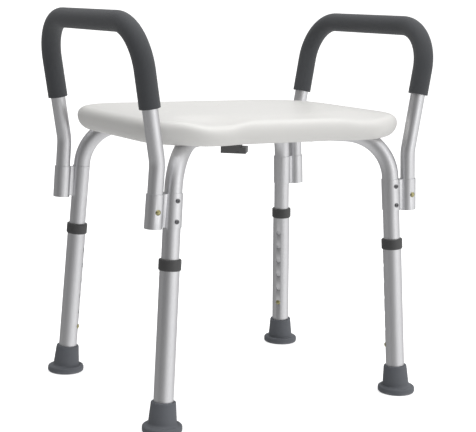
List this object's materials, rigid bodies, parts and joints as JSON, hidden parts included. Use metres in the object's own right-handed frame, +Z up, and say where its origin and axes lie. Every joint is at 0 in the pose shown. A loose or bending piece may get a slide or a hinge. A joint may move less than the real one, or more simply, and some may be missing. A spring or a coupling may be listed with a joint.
{
  "type": "shower stool",
  "caption": "Height-adjustable shower stool with a moulded seat on crossed tubes, telescoping splayed legs with snap buttons and padded lift-out arms.",
  "frame": {"origin": "on the floor under the middle of the four feet, legs at their shortest setting", "axes": "+Z up, -Y towards the front edge of the seat, -X towards the left arm as seen from the front"},
  "size_m": [0.529, 0.3906, 0.5846],
  "materials": {
    "seat_plastic": "satin blow-moulded",
    "aluminium_tube": "satin anodised",
    "bracket_aluminium": "satin anodised",
    "black_plastic": "moulded",
    "grey_rubber": "matt",
    "foam_grip": "closed-cell foam",
    "zinc_steel": "zinc plated",
    "dark_screw": "blackened",
    "brass_button": "dull plated"
  },
  "bodies": {
    "frame": {"seat": "seat_plastic", "seat_screws": "zinc_steel", "frame_tube_left": "aluminium_tube", "frame_tube_right": "aluminium_tube", "clamp_foot": "black_plastic", "clamp_cap": "black_plastic", "clamp_bolt": "zinc_steel", "clamp_nut": "zinc_steel", "bracket_screws": "dark_screw", "arm_bracket_front_left": "bracket_aluminium", "arm_bracket_front_right": "bracket_aluminium", "arm_bracket_rear_left": "bracket_aluminium", "arm_bracket_rear_right": "bracket_aluminium", "leg_spring_front_left": "zinc_steel", "leg_spring_front_right": "zinc_steel", "leg_spring_rear_left": "zinc_steel", "leg_spring_rear_right": "zinc_steel"},
    "leg_front_left": {"lower_leg_front_left": "aluminium_tube", "leg_collar_front_left": "black_plastic", "foot_front_left": "grey_rubber", "foot_washer_front_left": "zinc_steel"},
    "leg_front_right": {"lower_leg_front_right": "aluminium_tube", "leg_collar_front_right": "black_plastic", "foot_front_right": "grey_rubber", "foot_washer_front_right": "zinc_steel"},
    "leg_rear_left": {"lower_leg_rear_left": "aluminium_tube", "leg_collar_rear_left": "black_plastic", "foot_rear_left": "grey_rubber", "foot_washer_rear_left": "zinc_steel"},
    "leg_rear_right": {"lower_leg_rear_right": "aluminium_tube", "leg_collar_rear_right": "black_plastic", "foot_rear_right": "grey_rubber", "foot_washer_rear_right": "zinc_steel"},
    "leg_button_body_front_left": {"leg_button_front_left": "brass_button"},
    "leg_button_body_front_right": {"leg_button_front_right": "brass_button"},
    "leg_button_body_rear_left": {"leg_button_rear_left": "brass_button"},
    "leg_button_body_rear_right": {"leg_button_rear_right": "brass_button"},
    "arm_left": {"arm_tube_left": "aluminium_tube", "arm_pad_left": "foam_grip", "arm_spring_front_left": "zinc_steel", "arm_spring_rear_left": "zinc_steel"},
    "arm_right": {"arm_tube_right": "aluminium_tube", "arm_pad_right": "foam_grip", "arm_spring_front_right": "zinc_steel", "arm_spring_rear_right": "zinc_steel"},
    "arm_button_body_front_left": {"arm_button_front_left": "brass_button"},
    "arm_button_body_front_right": {"arm_button_front_right": "brass_button"},
    "arm_button_body_rear_left": {"arm_button_rear_left": "brass_button"},
    "arm_button_body_rear_right": {"arm_button_rear_right": "brass_button"}
  },
  "joints": [
    {"name": "leg_extend_front_left", "type": "slide", "parent": "frame", "child": "leg_front_left", "axis": [-0.0566, -0.0451, -0.9974], "range_m": [0, 0.127], "deforming": ["leg_button_front_left", "leg_spring_front_left"]},
    {"name": "leg_extend_front_right", "type": "slide", "parent": "frame", "child": "leg_front_right", "axis": [0.0566, -0.0451, -0.9974], "range_m": [0, 0.127], "deforming": ["leg_button_front_right", "leg_spring_front_right"]},
    {"name": "leg_extend_rear_left", "type": "slide", "parent": "frame", "child": "leg_rear_left", "axis": [-0.0566, 0.0451, -0.9974], "range_m": [0, 0.127], "deforming": ["leg_button_rear_left", "leg_spring_rear_left"]},
    {"name": "leg_extend_rear_right", "type": "slide", "parent": "frame", "child": "leg_rear_right", "axis": [0.0566, 0.0451, -0.9974], "range_m": [0, 0.127], "deforming": ["leg_button_rear_right", "leg_spring_rear_right"]},
    {"name": "leg_button_press_front_left", "type": "slide", "parent": "frame", "child": "leg_button_body_front_left", "axis": [-0.7796, -0.6221, 0.0724], "range_m": [0, 0.0035], "stiffness_N_per_m": 1500, "springref_m": -0.001, "deforming": ["leg_spring_front_left"]},
    {"name": "leg_button_press_front_right", "type": "slide", "parent": "frame", "child": "leg_button_body_front_right", "axis": [0.7796, -0.6221, 0.0724], "range_m": [0, 0.0035], "stiffness_N_per_m": 1500, "springref_m": -0.001, "deforming": ["leg_spring_front_right"]},
    {"name": "leg_button_press_rear_left", "type": "slide", "parent": "frame", "child": "leg_button_body_rear_left", "axis": [-0.7796, 0.6221, 0.0724], "range_m": [0, 0.0035], "stiffness_N_per_m": 1500, "springref_m": -0.001, "deforming": ["leg_spring_rear_left"]},
    {"name": "leg_button_press_rear_right", "type": "slide", "parent": "frame", "child": "leg_button_body_rear_right", "axis": [0.7796, 0.6221, 0.0724], "range_m": [0, 0.0035], "stiffness_N_per_m": 1500, "springref_m": -0.001, "deforming": ["leg_spring_rear_right"]},
    {"name": "arm_lift_left", "type": "slide", "parent": "frame", "child": "arm_left", "axis": [0.0566, 0, 0.9984], "range_m": [0, 0.06], "deforming": ["arm_button_front_left", "arm_button_rear_left", "arm_spring_front_left", "arm_spring_rear_left"]},
    {"name": "arm_lift_right", "type": "slide", "parent": "frame", "child": "arm_right", "axis": [-0.0566, 0, 0.9984], "range_m": [0, 0.06], "deforming": ["arm_button_front_right", "arm_button_rear_right", "arm_spring_front_right", "arm_spring_rear_right"]},
    {"name": "arm_button_press_front_left", "type": "slide", "parent": "arm_left", "child": "arm_button_body_front_left", "axis": [0, 1, 0], "range_m": [0, 0.0035], "stiffness_N_per_m": 1500, "springref_m": -0.001, "deforming": ["arm_spring_front_left"]},
    {"name": "arm_button_press_front_right", "type": "slide", "parent": "arm_right", "child": "arm_button_body_front_right", "axis": [0, 1, 0], "range_m": [0, 0.0035], "stiffness_N_per_m": 1500, "springref_m": -0.001, "deforming": ["arm_spring_front_right"]},
    {"name": "arm_button_press_rear_left", "type": "slide", "parent": "arm_left", "child": "arm_button_body_rear_left", "axis": [0, -1, 0], "range_m": [0, 0.0035], "stiffness_N_per_m": 1500, "springref_m": -0.001, "deforming": ["arm_spring_rear_left"]},
    {"name": "arm_button_press_rear_right", "type": "slide", "parent": "arm_right", "child": "arm_button_body_rear_right", "axis": [0, -1, 0], "range_m": [0, 0.0035], "stiffness_N_per_m": 1500, "springref_m": -0.001, "deforming": ["arm_spring_rear_right"]}
  ]
}
